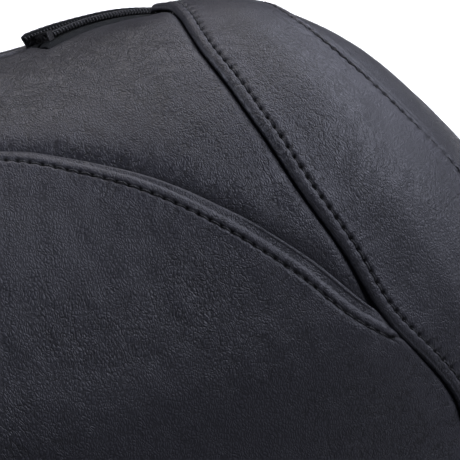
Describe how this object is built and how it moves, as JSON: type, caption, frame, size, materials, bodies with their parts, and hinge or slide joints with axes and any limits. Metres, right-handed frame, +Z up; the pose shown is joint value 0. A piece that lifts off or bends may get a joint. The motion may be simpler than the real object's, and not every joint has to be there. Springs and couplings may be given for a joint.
{
  "type": "motorcycle seat",
  "caption": "Wide touring solo seat with a tall twin-lobed lumbar bolster, stitched leather panels, rear crest zips, moulded pan and mounting brackets.",
  "frame": {"origin": "centre of the bounding box in plan, on the plane that the rubber pads rest on", "axes": "+X to the rider's left, +Y to the rear, +Z up"},
  "size_m": [0.4436, 0.5714, 0.2469],
  "materials": {
    "leather": "matt grained black with a soft sheen",
    "thread": "bonded black polyester",
    "foam": "moulded open-cell foam",
    "gel": "soft gel",
    "pan_plastic": "moulded polypropylene with a fine texture",
    "coated_steel": "black powder coat",
    "steel": "zinc plated",
    "rubber": "moulded rubber",
    "zip_tape": "woven dark grey tape",
    "zip_teeth": "nylon coil",
    "zip_metal": "black lacquered zinc alloy"
  },
  "bodies": {
    "root": {"base_pan": "pan_plastic", "foam_cushion": "foam", "foam_bolster": "foam", "gel_pad": "gel", "cover_main_panel": "leather", "cover_bolster_cap": "leather", "cover_rear_panel": "leather", "cover_crest_bridge": "leather", "cover_nose": "leather", "cover_band_left": "leather", "cover_band_right": "leather", "cover_skirt_left": "leather", "cover_skirt_right": "leather", "cover_hem": "leather", "hem_staples": "steel", "thread_arch": "thread", "tack_strip": "pan_plastic", "mount_spacers": "pan_plastic", "lumbar_hoop": "coated_steel", "hoop_bolts": "steel", "hoop_nuts": "steel", "rubber_pads": "rubber", "pad_screws": "steel", "rear_bracket": "coated_steel", "rear_rivets": "steel", "front_tongue": "coated_steel", "front_rivets": "steel", "thread_band_inner_left": "thread", "thread_band_outer_left": "thread", "zip_tape_rear_left": "zip_tape", "zip_tape_front_left": "zip_tape", "zip_teeth_rear_left": "zip_teeth", "zip_teeth_front_left": "zip_teeth", "zip_stop_inner_left": "zip_metal", "zip_stop_outer_left": "zip_metal", "thread_band_inner_right": "thread", "thread_band_outer_right": "thread", "zip_tape_rear_right": "zip_tape", "zip_tape_front_right": "zip_tape", "zip_teeth_rear_right": "zip_teeth", "zip_teeth_front_right": "zip_teeth", "zip_stop_inner_right": "zip_metal", "zip_stop_outer_right": "zip_metal"},
    "zip_pull_left": {"zip_pull_left": "zip_metal"},
    "zip_pull_right": {"zip_pull_right": "zip_metal"},
    "zip_slider_left": {"zip_slider_left": "zip_metal"},
    "zip_slider_right": {"zip_slider_right": "zip_metal"}
  },
  "joints": [
    {"name": "zip_slider_turn_left", "type": "hinge", "parent": "root", "child": "zip_slider_left", "pos_m": [0.08491, 0.15561, 0.11076], "axis": [0.4141, -0.8369, 0.3578], "range_deg": [0, 25.8]},
    {"name": "zip_pull_swing_left", "type": "hinge", "parent": "zip_slider_left", "child": "zip_pull_left", "pos_m": [0.1113, 0.22183, 0.23509], "axis": [0.4141, -0.8369, 0.3578], "range_deg": [0, 175]},
    {"name": "zip_slider_turn_right", "type": "hinge", "parent": "root", "child": "zip_slider_right", "pos_m": [-0.08491, 0.15561, 0.11076], "axis": [0.4141, 0.8369, -0.3578], "range_deg": [0, 25.8]},
    {"name": "zip_pull_swing_right", "type": "hinge", "parent": "zip_slider_right", "child": "zip_pull_right", "pos_m": [-0.1113, 0.22183, 0.23509], "axis": [0.4141, 0.8369, -0.3578], "range_deg": [0, 175]}
  ]
}
